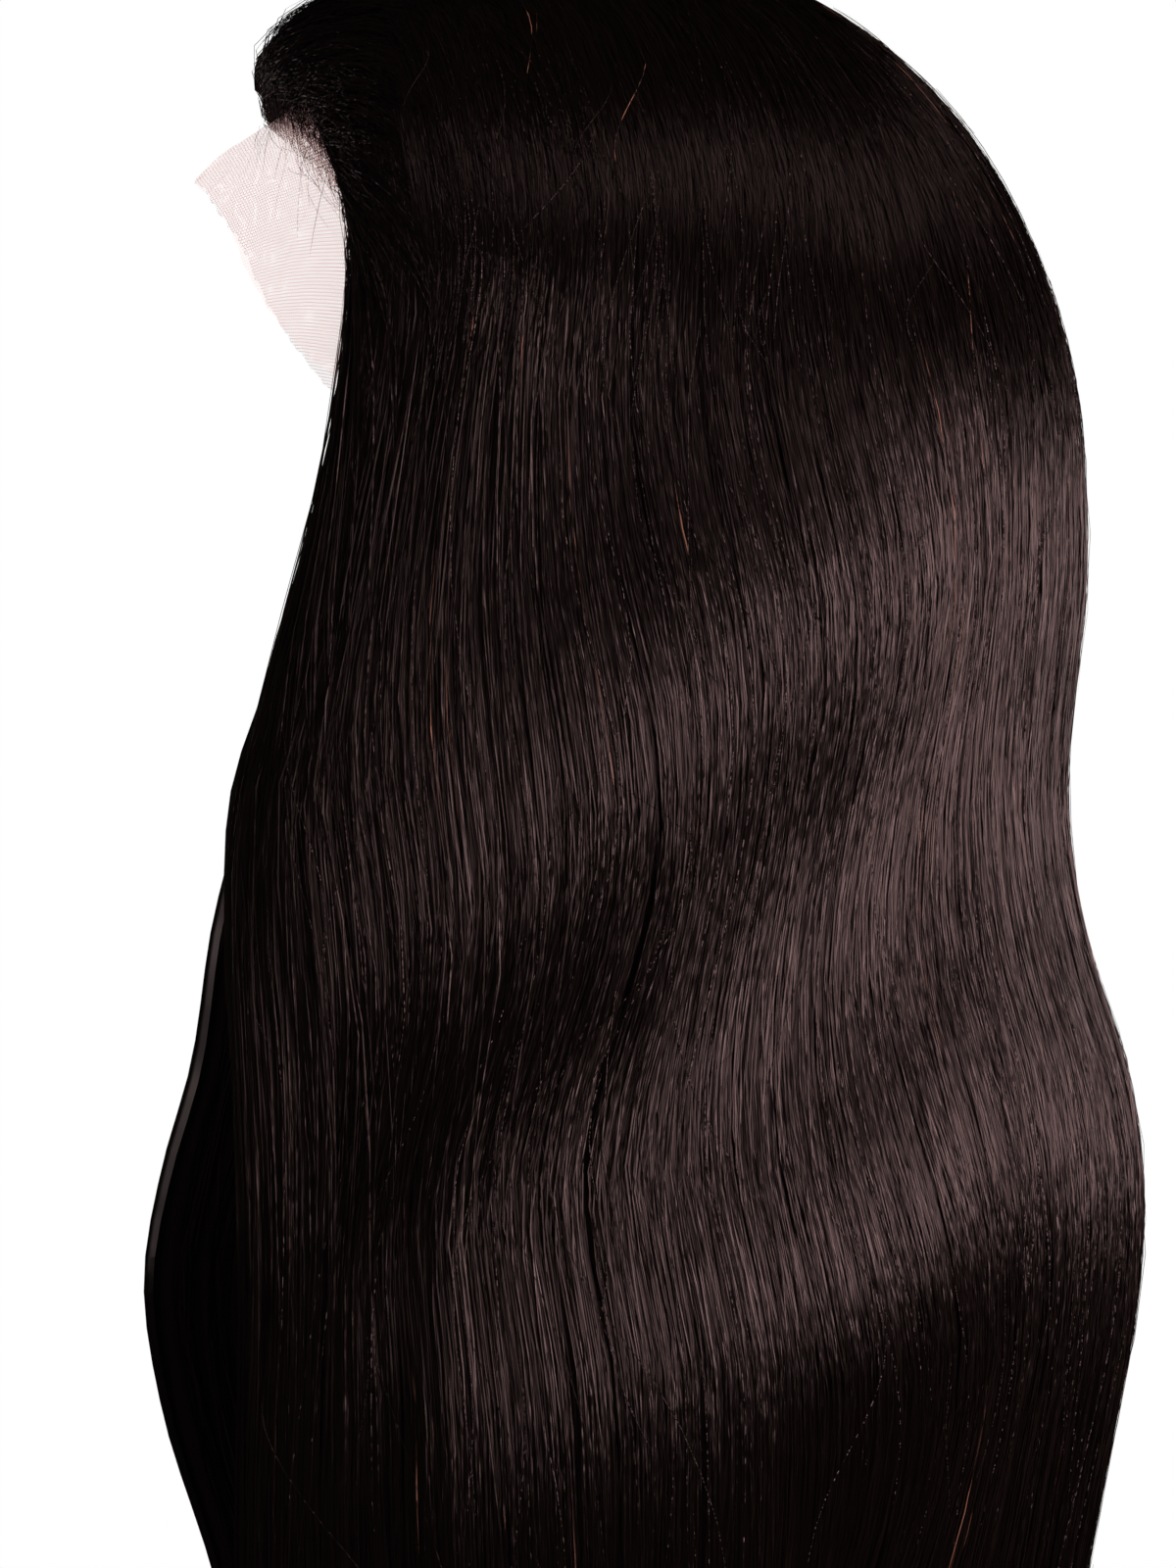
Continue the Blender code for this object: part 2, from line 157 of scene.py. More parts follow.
def hairSurface(angle, t):
    # t from 0 to 1: root + (edge - root) sin^f(90 t), a quarter oval over the crown, less the parting's dip
    # t from 1 to 2: straight down the levels
    hang, share = hangLevelAt(angle)
    side = np.where(angle < 0, -1.0, 1.0) * ease(share, 0, 0.02)
    root = np.stack([
        side * 0.4 * mm,
        curveThrough(parting["share"], parting["y"], share) * mm,
        curveThrough(parting["share"], parting["z"], share) * mm,
    ], axis=-1)
    atEdges = ease(share, 0.75, 1) + 1 - ease(share, 0, 0.25)
    fullness = hairForm["sideFullness"] + (1 - hairForm["sideFullness"]) * atEdges
    turn = np.clip(t, 0, 1) * math.pi / 2
    out, down = np.sin(turn) ** fullness, np.maximum(np.cos(turn), 0) ** fullness
    dome = root + (hangingPoint(angle, hang) - root) * out[..., None]
    dome[..., 2] = hang + (root[..., 2] - hang) * down
    beside = np.exp(-((dome[..., 0] / hairForm["dipHalfWidth"]) ** 2))
    crown = parting["y"][0] * mm
    dome[..., 2] -= hairForm["dip"] * beside * (1 - ease(dome[..., 1], crown, crown + hairForm["dipEnd"]))
    low = hangingPoint(angle, hang + (hairForm["tipLevel"] - hang) * (np.maximum(t, 1) - 1))
    return np.where((t < 1)[..., None], dome, low)


def surfaceNormal(angle, t):
    # cross product of the steps round and down the surface
    t = np.maximum(t, 0.06)
    across = hairSurface(angle + 0.6, t) - hairSurface(angle - 0.6, t)
    down = hairSurface(angle, t + 0.02) - hairSurface(angle, t - 0.02)
    return unit(np.cross(across, down))


def wallAt(angle, z):
    # thickness of hair between the outside and the hollow, thin towards the front edge
    around = np.abs(angle)
    toSide = ease(around, 25, 75)
    wall = level("backWall", z) * (1 - toSide) + level("sideWall", z) * toSide
    return wall * (1 - 0.65 * np.clip((around - 118.4) / 16.6, 0, 1) ** 2)


def capGauge(offset):
    # 1 on the cap's form: (|x/a|^n + |y/b|^n + |z/c|^n)^(1/n)
    length = np.where(offset[..., 1] < 0, capForm["front"], capForm["back"])
    sizes = (capForm["halfWidth"], length, capForm["rise"])
    shares = [offset[..., axis] / size for axis, size in enumerate(sizes)]
    return sum(np.abs(share) ** capForm["fullness"] for share in shares) ** (1 / capForm["fullness"])


def besideCap(points, clearance):
    # each point slid along its line from the form's centre to this distance off the form
    offset = points - capForm["centre"]
    touching = offset / capGauge(offset)[..., None]
    return capForm["centre"] + touching + unit(touching) * clearance


def clearOfCap(points, clearance):
    # only the points that lie deeper than the clearance are moved
    seat, centre = besideCap(points, clearance), capForm["centre"]
    near = np.linalg.norm(points - centre, axis=-1) < np.linalg.norm(seat - centre, axis=-1)
    return np.where(near[..., None], seat, points)


def onCap(out, turn, lift=0.0):
    # where a ray from the hub leaves the cap's form, by halving
    out, turn = np.radians(out), np.radians(turn)
    way = np.stack([np.sin(out), -np.cos(out) * np.cos(turn), np.cos(out) * np.sin(turn)], axis=-1)
    near, far = np.zeros(way.shape[:-1]), np.full(way.shape[:-1], 0.3)
    for _ in range(30):
        middle = (near + far) / 2
        inside = capGauge(capForm["hub"] + way * middle[..., None] - capForm["centre"]) < 1
        near, far = np.where(inside, middle, near), np.where(inside, far, middle)
    return capForm["hub"] + way * (near + lift)[..., None]


# Meshes

def addMesh(name, points, quads, uv, material):
    # quads are an (n, 4) array, uv is (n * 4, 2) in the same order
    mesh = bpy.data.meshes.new(name)
    mesh.vertices.add(len(points))
    mesh.vertices.foreach_set("co", np.ascontiguousarray(points, np.float32).ravel())
    mesh.loops.add(quads.size)
    mesh.loops.foreach_set("vertex_index", np.ascontiguousarray(quads, np.int32).ravel())
    mesh.polygons.add(len(quads))
    mesh.polygons.foreach_set("loop_start", np.arange(0, quads.size, 4, dtype=np.int32))
    mesh.update(calc_edges=True)
    layer = mesh.uv_layers.new(name="OFBake")
    layer.data.foreach_set("uv", np.ascontiguousarray(uv, np.float32).ravel())
    mesh.shade_smooth()
    mesh.materials.append(material)
    piece = bpy.data.objects.new(name, mesh)
    bpy.context.scene.collection.objects.link(piece)
    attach(piece, "root")
    return piece


def gridQuads(columns, rows):
    # point c * rows + r is column c, row r
    c, r = np.meshgrid(np.arange(columns - 1), np.arange(rows - 1), indexing="ij")
    first = (c * rows + r).ravel()
    return np.stack([first, first + rows, first + rows + 1, first + 1], axis=1)


def ribbons(paths, normals, width, roll):
    # each path becomes a strip: its edges lie half a width to either side, turned by roll about the path
    along = unit(np.gradient(paths, axis=1))
    across = unit(np.cross(along, normals))
    face = np.cross(across, along)
    side = across * np.cos(roll)[:, None, None] + face * np.sin(roll)[:, None, None]
    half = side * (width / 2)[..., None]
    return np.stack([paths - half, paths + half], axis=2)


# The strands' map: its columns along U are tones, the plain ones up to a share and past it the copper ones
# with painted glints
toneMap = {"columns": 160, "plain": 0.975, "paintedGlintFrom": 0.976, "paintedGlint": 0.99, "margin": 0.1}


def addStrands(name, paths, normals, width, roll, tone, material):
    # U runs across the strand inside its own tone's column of the map, V runs from root to tip
    count, steps = paths.shape[:2]
    points = ribbons(paths, normals, width, roll).reshape(-1, 3)
    base = (np.arange(count)[:, None] * steps + np.arange(steps - 1)[None, :]) * 2
    quads = np.stack([base, base + 1, base + 3, base + 2], axis=-1).reshape(-1, 4)
    tones, margin = toneMap["columns"], toneMap["margin"]
    column = np.clip((tone * tones).astype(int), 0, tones - 1)[:, None, None]
    v = np.linspace(0, 1, steps)
    zero = np.zeros((count, steps - 1, 1))
    low, high = v[:-1][None, :, None] + zero, v[1:][None, :, None] + zero
    near, far = (column + margin) / tones + zero, (column + 1 - margin) / tones + zero
    uv = np.stack([
        np.concatenate([near, far, far, near], axis=2),
        np.concatenate([low, low, high, high], axis=2),
    ], axis=-1)
    return addMesh(name, points, quads, uv.reshape(-1, 2), material)


def addWall(name, outside, inside, uv, material):
    # a closed wall between two grids of the same size, joined all round their rims
    columns, rows = outside.shape[:2]
    count = columns * rows
    rim = np.concatenate([
        np.arange(columns) * rows,
        (columns - 1) * rows + np.arange(1, rows),
        np.arange(columns - 2, -1, -1) * rows + rows - 1,
        np.arange(rows - 2, 0, -1),
    ])
    following = np.roll(rim, -1)
    quads = gridQuads(columns, rows)
    rims = np.stack([following, following + count, rim + count, rim], axis=1)
    quads = np.concatenate([quads, quads[:, ::-1] + count, rims])
    points = np.concatenate([outside.reshape(-1, 3), inside.reshape(-1, 3)])
    return addMesh(name, points, quads, np.concatenate([uv, uv])[quads.ravel()], material)


# Shader helpers

def newMaterial(name):
    # a material with its nodes and links at hand
    material = bpy.data.materials.new(name)
    material.use_nodes = True
    return material, material.node_tree.nodes, material.node_tree.links


def newGroup(name, inputs, outputs):
    # inputs as (name, kind, value), outputs as (name, kind)
    group = bpy.data.node_groups.new(name, "ShaderNodeTree")
    for label, kind, value in inputs:
        socket = group.interface.new_socket(label, in_out="INPUT", socket_type=kind)
        if value is not None:
            socket.default_value = value
    for label, kind in outputs:
        group.interface.new_socket(label, in_out="OUTPUT", socket_type=kind)
    return group, group.nodes.new("NodeGroupInput"), group.nodes.new("NodeGroupOutput")


def mathNode(nodes, links, operation, first, second=None):
    # a number goes straight into its socket, an output is linked to it
    node = nodes.new("ShaderNodeMath")
    node.operation = operation
    for index, value in enumerate((first, second)):
        if isinstance(value, (int, float)):
            node.inputs[index].default_value = value
        elif value is not None:
            links.new(value, node.inputs[index])
    return node.outputs[0]


def mixNode(nodes, links, share, first, second):
    # first at share 0, second at share 1; a tuple is a plain colour
    node = nodes.new("ShaderNodeMix")
    node.data_type = "RGBA"
    links.new(share, node.inputs["Factor"])
    for label, value in (("A", first), ("B", second)):
        if isinstance(value, tuple):
            node.inputs[label].default_value = (*value, 1)
        else:
            links.new(value, node.inputs[label])
    return node.outputs["Result"]


def strandGroup():
    # each strand is one column of the map (U): its number picks its tone and its own run of glints along V
    group, inside, outside = newGroup(
        "strandTone",
        [("Map", "NodeSocketVector", None), ("Dark", "NodeSocketColor", (0, 0, 0, 1)),
         ("Light", "NodeSocketColor", (1, 1, 1, 1)), ("Glint", "NodeSocketColor", (1, 1, 1, 1)),
         ("Strands", "NodeSocketFloat", 100.0), ("Glints", "NodeSocketFloat", 30.0),
         ("Rough Low", "NodeSocketFloat", 0.3), ("Rough High", "NodeSocketFloat", 0.45)],
        [("Colour", "NodeSocketColor"), ("Roughness", "NodeSocketFloat"), ("Height", "NodeSocketFloat")],
    )
    nodes, links = group.nodes, group.links
    split = nodes.new("ShaderNodeSeparateXYZ")
    links.new(inside.outputs["Map"], split.inputs[0])
    across = mathNode(nodes, links, "MULTIPLY", split.outputs["X"], inside.outputs["Strands"])
    number = mathNode(nodes, links, "FLOOR", across)

    def noiseAlong(apart, cycles, detail):
        # its own line of noise for each strand, so many cycles from root to tip
        place = nodes.new("ShaderNodeCombineXYZ")
        links.new(mathNode(nodes, links, "MULTIPLY", number, apart), place.inputs["X"])
        links.new(mathNode(nodes, links, "MULTIPLY", split.outputs["Y"], cycles), place.inputs["Y"])
        noise = nodes.new("ShaderNodeTexNoise")
        noise.inputs["Scale"].default_value = 1.0
        noise.inputs["Detail"].default_value = detail
        links.new(place.outputs[0], noise.inputs["Vector"])
        return noise.outputs["Fac"]

    def spread(value, low, high):
        # low to high stretched over the whole range
        node = nodes.new("ShaderNodeMapRange")
        node.inputs["From Min"].default_value = low
        node.inputs["From Max"].default_value = high
        links.new(value, node.inputs["Value"])
        return node

    glints = noiseAlong(7.31, inside.outputs["Glints"], 2.0)
    tone = spread(noiseAlong(3.17, 4.0, 1.0), 0.32, 0.72)
    plain = mixNode(nodes, links, tone.outputs["Result"], inside.outputs["Dark"], inside.outputs["Light"])
    # the last columns are copper strands: on stretches of them the base colour turns bright copper, a
    # painted highlight
    paintedGlint = mathNode(nodes, links, "GREATER_THAN", split.outputs["X"], toneMap["paintedGlintFrom"])
    stretch = spread(noiseAlong(5.7, 8.0, 0.0), 0.52, 0.66)
    paintedGlintMask = mathNode(nodes, links, "MULTIPLY", paintedGlint, stretch.outputs["Result"])
    rough = spread(glints, 0.3, 0.7)
    links.new(inside.outputs["Rough Low"], rough.inputs["To Min"])
    links.new(inside.outputs["Rough High"], rough.inputs["To Max"])
    links.new(mixNode(nodes, links, paintedGlintMask, plain, inside.outputs["Glint"]), outside.inputs["Colour"])
    links.new(rough.outputs["Result"], outside.inputs["Roughness"])
    links.new(glints, outside.inputs["Height"])
    return group


def hairMaterial(name, group, look):
    # the sheen is stretched across the strand by a tangent from the map, and broken into glints by the bump
    material, nodes, links = newMaterial(name)
    shader = nodes["Principled BSDF"]
    uvMap = nodes.new("ShaderNodeUVMap")
    uvMap.uv_map = "OFBake"
    tone = nodes.new("ShaderNodeGroup")
    tone.node_tree = group
    links.new(uvMap.outputs["UV"], tone.inputs["Map"])
    for label in ("dark", "light", "glint"):
        tone.inputs[label.capitalize()].default_value = (*look[label], 1)
    tone.inputs["Strands"].default_value = look["strands"]
    tone.inputs["Glints"].default_value = look["glints"]
    tone.inputs["Rough Low"].default_value, tone.inputs["Rough High"].default_value = look["rough"]
    links.new(tone.outputs["Colour"], shader.inputs["Base Color"])
    links.new(tone.outputs["Roughness"], shader.inputs["Roughness"])
    shader.inputs["Anisotropic"].default_value = look["anisotropic"]
    shader.inputs["Specular IOR Level"].default_value = look["specular"]
    shader.inputs["Specular Tint"].default_value = (*look["sheenTone"], 1)
    tangent = nodes.new("ShaderNodeTangent")
    tangent.direction_type = "UV_MAP"
    tangent.uv_map = "OFBake"
    links.new(tangent.outputs[0], shader.inputs["Tangent"])
    bump = nodes.new("ShaderNodeBump")
    bump.inputs["Strength"].default_value = 1.0
    bump.inputs["Distance"].default_value = look["kink"]
    links.new(tone.outputs["Height"], bump.inputs["Height"])
    links.new(bump.outputs[0], shader.inputs["Normal"])
    return material


# Camera, light and floor

cameraSet = {"distance": 1.5, "y": -0.004, "z": -0.209, "frameHeight": 0.424}


def makeCamera(values):
    # square on to the left side; lens = 36 mm * distance / height of the frame at the middle plane
    camera = bpy.data.objects.new("camera", bpy.data.cameras.new("camera"))
    bpy.context.scene.collection.objects.link(camera)
    camera.location = (values["distance"], values["y"], values["z"])
    camera.rotation_euler = (math.radians(90), 0, math.radians(90))
    camera.data.sensor_fit = "VERTICAL"
    camera.data.sensor_height = 36
    camera.data.lens = 36 * values["distance"] / values["frameHeight"]
    bpy.context.scene.camera = camera


lights = {
    # name: azimuth from +X towards +Y in degrees, height, distance, size across, size up, power, colour
    "keySoftbox": (57, 0.05, 1.5, 0.6, 0.40, 10.6, (1, 0.89, 0.89)),
    "fillSoftbox": (42, 0.30, 1.5, 0.6, 0.30, 0.8, (1, 0.89, 0.89)),
    "topSoftbox": (30, 1.30, 1.2, 0.6, 0.6, 2.0, (1, 0.89, 0.88)),
    "farSoftbox": (190, 0.10, 1.6, 0.9, 0.6, 2.6, (1, 0.89, 0.88)),
    "faceSoftbox": (-125, 0.10, 1.6, 0.6, 0.5, 1.6, (1, 0.89, 0.88)),
    "backSoftbox": (130, 0.10, 1.7, 0.6, 0.5, 4.0, (1, 0.89, 0.88)),
}


def makeLights(table):
    # each softbox stands at its azimuth and height round the target and faces it
    target = np.array([0.0, 0.0, -0.2])
    for name, (azimuth, height, distance, across, up, power, colour) in table.items():
        data = bpy.data.lights.new(name, "AREA")
        data.shape = "RECTANGLE"
        data.size, data.size_y = across, up
        data.energy = power
        data.color = colour
        lamp = bpy.data.objects.new(name, data)
        bpy.context.scene.collection.objects.link(lamp)
        turn = math.radians(azimuth)
        place = target + np.array([math.cos(turn) * distance, math.sin(turn) * distance, height])
        reach = math.hypot(place[0], place[1])
        lamp.location = place
        lamp.rotation_euler = (math.pi / 2 - math.atan2(height, reach), 0, turn + math.pi / 2)
        lamp.visible_camera = False


def makeWorld(behind, soft, mirrored):
    # three strengths of the same white: seen behind the object, lighting it softly, and mirrored in it
    world = bpy.data.worlds.new("studio")
    bpy.context.scene.world = world
    world.use_nodes = True
    world.cycles.sampling_method = "NONE"
    nodes, links = world.node_tree.nodes, world.node_tree.links
    path = nodes.new("ShaderNodeLightPath")
    strength = mathNode(nodes, links, "MULTIPLY", path.outputs["Is Camera Ray"], behind - soft)
    strength = mathNode(nodes, links, "ADD", strength, soft)
    glossy = mathNode(nodes, links, "MULTIPLY", path.outputs["Is Glossy Ray"], mirrored - soft)
    strength = mathNode(nodes, links, "ADD", strength, glossy)
    shader = nodes["Background"]
    shader.inputs["Color"].default_value = (1, 1, 1, 1)
    links.new(strength, shader.inputs["Strength"])


def makeFloor(z, radius):
    # a flat round floor that fades out towards its rim
    turns = np.linspace(0, 2 * math.pi, 97)
    rings = np.array([0.001, radius])
    points = np.stack([
        np.cos(turns)[:, None] * rings, np.sin(turns)[:, None] * rings, z + 0 * turns[:, None] * rings,
    ], axis=-1).reshape(-1, 3)
    mesh = bpy.data.meshes.new("floor")
    mesh.from_pydata(points.tolist(), [], gridQuads(97, 2)[:, ::-1].tolist())
    material, nodes, links = newMaterial("floorPale")
    shader = nodes["Principled BSDF"]
    shader.inputs["Base Color"].default_value = (0.85, 0.85, 0.85, 1)
    shader.inputs["Roughness"].default_value = 0.8
    shader.inputs["Emission Color"].default_value = (1, 1, 1, 1)
    shader.inputs["Emission Strength"].default_value = 0.15
    place = nodes.new("ShaderNodeTexCoord")
    flat = nodes.new("ShaderNodeVectorMath")
    flat.operation = "MULTIPLY"
    flat.inputs[1].default_value = (1, 1, 0)
    links.new(place.outputs["Object"], flat.inputs[0])
    away = nodes.new("ShaderNodeVectorMath")
    away.operation = "LENGTH"
    links.new(flat.outputs[0], away.inputs[0])
    fade = nodes.new("ShaderNodeMapRange")
    fade.interpolation_type = "SMOOTHSTEP"
    fade.inputs["From Min"].default_value = radius * 0.35
    fade.inputs["From Max"].default_value = radius
    fade.inputs["To Min"].default_value = 1.0
    fade.inputs["To Max"].default_value = 0.0
    links.new(away.outputs["Value"], fade.inputs["Value"])
    links.new(fade.outputs["Result"], shader.inputs["Alpha"])
    mesh.materials.append(material)
    floor = bpy.data.objects.new("floor", mesh)
    bpy.context.scene.collection.objects.link(floor)
    floor.visible_glossy = False


makeCamera(cameraSet)
makeLights(lights)
makeWorld(behind=1.0, soft=0.85, mirrored=0.008)
makeFloor(z=-0.56, radius=0.95)
bpy.context.scene.view_settings.view_transform = "Standard"
print("stage: camera, lights and floor set")


# Hair

toneGroup = strandGroup()
# strands: columns of the map; glints: bright and dark stretches from root to tip; kink: height of the bump
strandLook = {
    # glint: bright copper base colour on stretches of the copper strands, a painted highlight
    "dark": (0.0018, 0.0008, 0.0006), "light": (0.0060, 0.0029, 0.0025), "glint": (0.26, 0.10, 0.06),
    "strands": toneMap["columns"], "glints": 30.0, "kink": 1.8 * mm, "rough": (0.36, 0.55),
    "anisotropic": 0.99, "specular": 1.0, "sheenTone": (1, 0.70, 0.68),
}
bedLook = {
    "dark": (0.0010, 0.0005, 0.0004), "light": (0.0035, 0.0017, 0.0014), "glint": (0.0035, 0.0017, 0.0014),
    "strands": 640.0, "glints": 34.0, "kink": 1.6 * mm, "rough": (0.38, 0.56),
    "anisotropic": 0.99, "specular": 0.8, "sheenTone": (1, 0.70, 0.68),
}
strandMaterial = hairMaterial("hairStrand", toneGroup, strandLook)
bedMaterial = hairMaterial("hairBed", toneGroup, bedLook)


def between(angle, rise, full, fall, end):
    # 0 up to rise, 1 from full to fall, and 0 again from end on, the same on both sides
    around = np.abs(angle)
    return ease(around, rise, full) * (1 - ease(around, fall, end))


def bodyWave(kind, angle, z):
    # A sin(2 pi (start - z - lag * degrees) / drop)
    late = hairForm[kind + "Lag"] * (np.abs(angle) - hairForm["lagFrom"])
    place = (hairForm[kind + "Start"] - z - late) / hairForm[kind + "Drop"]
    return hairForm[kind + "Height"] * np.sin(2 * math.pi * place)


def sideWave(angle, z):
    # outward: the body wave, faded out at the back, the front edge and the crown, plus the flare of the
    # ends near the front, less the hollow along the lower front edge
    wave = bodyWave("wave", angle, z) * between(angle, 42, 70, 122, 134) * ease(-z, 0.05, 0.15)
    flare = hairForm["endFlare"] * ease(-z, 0.335, 0.435) * between(angle, 66, 84, 107, 120)
    hollow = hairForm["frontHollow"] * ease(-z, 0.25, 0.33) * between(angle, 109, 117, 125, 134)
    return wave + flare - hollow


def sideSway(angle, z):
    # along the surface, positive towards the front: its own body wave, nine tenths gone where the ends flare
    fade = ease(-z, 0.03, 0.12) * (1 - 0.9 * ease(-z, 0.295, 0.385) * ease(np.abs(angle), 62, 86))
    return bodyWave("sway", angle, z) * between(angle, 30, 60, 118, 133) * fade


def swayed(angle, way):
    # angles moved this many metres along the surface towards the front edge
    return angle + np.where(angle < 0, -1, 1) * np.degrees(way / hairForm["sideRadius"])


def downSteps(start, end, steps):
    # t of even steps along the strand; onTop is the share of a full strand that lies over the crown
    onTop = 0.34
    first, last = [np.where(t < 1, t * onTop, onTop + (t - 1) * (1 - onTop))[:, None] for t in (start, end)]
    run = first + (last - first) * np.linspace(0, 1, steps)[None, :]
    return np.where(run < onTop, run / onTop, 1 + (run - onTop) / (1 - onTop))


clumps = {
    # how many round the whole cap, the share by which they draw together, groove depth in mm, and the size
    # in mm and the length in shares of a strand of their drift along the surface and square to it
    "locks": (66, 0.09, 0.30, (1.1, 0.8), (0.40, 0.50)),
    "wisps": (380, 0.14, 0.12, (0.35, 0.35), (0.22, 0.34)),
}


def seededWave(number, along, length, salt):
    # two sines per clump, their phases worked out from the clump's number
    phase = (np.sin(number * 12.9898 + salt * 78.233) * 43758.5453) % 1.0
    second = (np.sin(number * 39.3468 + salt * 11.135) * 24634.6345) % 1.0
    return 0.65 * np.sin(2 * math.pi * (along / length + phase)) + \
        0.35 * np.sin(2 * math.pi * (along / length * 1.9 + second))


def clumpOf(angle, count, salt):
    # clumps stand at uneven places round the cap; gives each strand's clump, its middle and half width
    edge = hairForm["frontAngle"]
    width = 2 * edge / count
    place = np.arange(count) + 0.5
    middles = -edge + width * (place + 0.42 * seededWave(place, 0, 1, salt + 20))
    middles = np.sort(middles)
    bounds = (middles[1:] + middles[:-1]) / 2
    number = np.searchsorted(bounds, angle)
    low = np.concatenate([[-edge], bounds])[number]
    high = np.concatenate([bounds, [edge]])[number]
    return number, (low + high) / 2, (high - low) / 2


def softEdge(angle):
    # the last 4 degrees before the front edge take up all that would pass it: e + r o / (o + r)
    edge, room = hairForm["frontAngle"] - 4.0, 4.3
    over = np.maximum(np.abs(angle) - edge, 0)
    return np.sign(angle) * (np.minimum(np.abs(angle), edge) + room * over / (over + room))


def layStrands(angle, start, end, depth, steps, looseness):
    # the point on the hair's surface at each step, moved along it by waves and clumps and in by the depth;
    # a clump's pull and groove come and go along it
    t = downSteps(start, end, steps)
    along = t / 2
    a = angle[:, None] + 0 * t
    sink = depth[:, None] * np.ones_like(t)
    pull = ease(t, 0.4, 2.0)
    move = np.zeros_like(t)
    for salt, values in enumerate(clumps.values()):
        count, draw, groove, (driftSize, driftLength), (liftSize, liftLength) = values
        number, centre, halfWidth = clumpOf(angle, count, salt)
        offset = (angle - centre) / halfWidth
        parted = 0.5 + 0.5 * seededWave(number[:, None], along, 0.32, salt + 13)
        a = a + (centre - angle)[:, None] * draw * pull * parted
        sink = sink + groove * mm * (offset ** 2)[:, None] * (0.2 + 0.8 * pull) * parted
        grow = ease(t, 0.1, 0.9)
        move += driftSize * mm * grow * seededWave(number[:, None], along, driftLength, salt + 1)
        sink = sink + liftSize * mm * grow * seededWave(number[:, None], along, liftLength, salt + 5)
    own = np.arange(len(angle))[:, None] + 0.5
    stray = looseness[:, None] * ease(t, 0.05, 0.8)
    move += stray * seededWave(own, along, 0.27, 9)
    sink = sink + 0.6 * stray * seededWave(own, along, 0.21, 12)
    a = softEdge(swayed(a, move + sideSway(a, hairSurface(a, t)[..., 2])))
    surface, normal = hairSurface(a, t), surfaceNormal(a, t)
    return surface + normal * (sideWave(a, surface[..., 2]) - sink)[..., None], normal, a, t


def smoothPaths(paths, rounds):
    # each inner point moves half way to the middle of its neighbours
    for _ in range(rounds):
        paths[:, 1:-1] = (paths[:, :-2] + 2 * paths[:, 1:-1] + paths[:, 2:]) / 4
    return paths


def taperWidth(width, steps, root, tip):
    # full over the middle, narrower at the root and drawn out to the tip
    s = np.linspace(0, 1, steps)[None, :]
    shape = (root + (1 - root) * ease(s, 0, 0.06)) * (tip + (1 - tip) * (1 - ease(s, 0.82, 1.0)))
    return width[:, None] * shape


def splitPieces(name, paths, normals, width, roll, tone, owner):
    # one piece for each section of hair and each few thousand strands, under the triangle limit
    most = 3900                    # strands in a piece
    made = []
    for section in ("hair_left", "hair_right", "hair_back"):
        members = np.flatnonzero(owner == section)
        parts = math.ceil(len(members) / most)
        for number in range(parts):
            pick = members[number::parts]
            made.append(addStrands(f"{name}_{section[5:]}_{number + 1}", paths[pick], normals[pick],
                                   width[pick], roll[pick], tone[pick], strandMaterial))
    return made


def plainTones(count):
    # a plain column of the map for each strand
    return rng.random(count) * toneMap["plain"]


def mixedTones(count, paintedGlint):
    # this share of the strands is copper, with stretches of painted glint
    return np.where(rng.random(count) < paintedGlint, toneMap["paintedGlint"], plainTones(count))


def cutShort(count, share, most):
    # this share of the strands ends short of its lock's tip, by up to most
    return np.where(rng.random(count) < share, rng.uniform(0, most, count), 0)


def sectionOf(angle):
    # the back section lies between the two side sections
    back = hairForm["backHalfAngle"]
    return np.where(angle > back, "hair_left", np.where(angle < -back, "hair_right", "hair_back"))


def strandEnds(angle, spread):
    # t of the tips: each lock has its own length, less 0.012 s^2 at s half widths from its middle
    number, centre, halfWidth = clumpOf(angle, clumps["locks"][0], 0)
    own = 0.5 + 0.5 * seededWave(number, 0, 1, 31)
    return 2.055 - 0.035 * own - 0.012 * ((angle - centre) / halfWidth) ** 2 \
        - np.abs(rng.normal(0, spread, len(angle)))


outerHair = {
    "count": 13400, "steps": 24, "width": (0.22 * mm, 0.36 * mm), "depth": 1.2 * mm,
    "looseness": 0.6 * mm,         # how far a strand strays by itself
    "rollSpread": 0.45,            # how far its flat side turns, in radians
    "rootSpread": 0.10,            # how far from the parting the roots reach, in t
    "buried": 0.25,                # share of strands that come up from under the others further down
    "short": (0.08, 0.35),         # share of strands that are cut short, and by how much at most
    "endSpread": 0.024,
    "paintedGlint": 0.004,               # share of strands that are copper, with painted glints where they would catch the light
}


def makeOuterHair(v):
    # strands over the whole outside, rooted along the parting and round the crown
    n = v["count"]
    angle = rng.uniform(-1, 1, n) * hairForm["frontAngle"]
    start = np.abs(rng.normal(0, v["rootSpread"], n)) + 0.002
    buried = rng.random(n) < v["buried"]
    start = np.where(buried, rng.uniform(0.05, 0.9, n), start)
    end = strandEnds(angle, v["endSpread"]) - cutShort(n, *v["short"])
    depth = v["depth"] * rng.random(n) ** 1.3
    looseness = v["looseness"] * rng.gamma(1.5, 0.6, n)
    paths, normals, _, t = layStrands(angle, start, end, depth, v["steps"], looseness)
    rise = np.where(buried, 5.0, 2.5)[:, None] * mm * (1 - ease(t - start[:, None], 0, 0.16))
    paths = clearOfCap(paths - normals * rise[..., None], 1.8 * mm)
    width = taperWidth(rng.uniform(*v["width"], n), v["steps"], 0.5, 0.25)
    roll = rng.normal(0, v["rollSpread"], n)
    return splitPieces("strands", paths, normals, width, roll, mixedTones(n, v["paintedGlint"]), sectionOf(angle))


innerHair = {
    "count": 3600, "steps": 15, "width": (0.35 * mm, 0.60 * mm), "looseness": 1.2 * mm, "rollSpread": 1.0,
    "short": (0.15, 0.3), "endSpread": 0.024,
    "byHollow": 0.35,              # share of strands that line the hollow
}


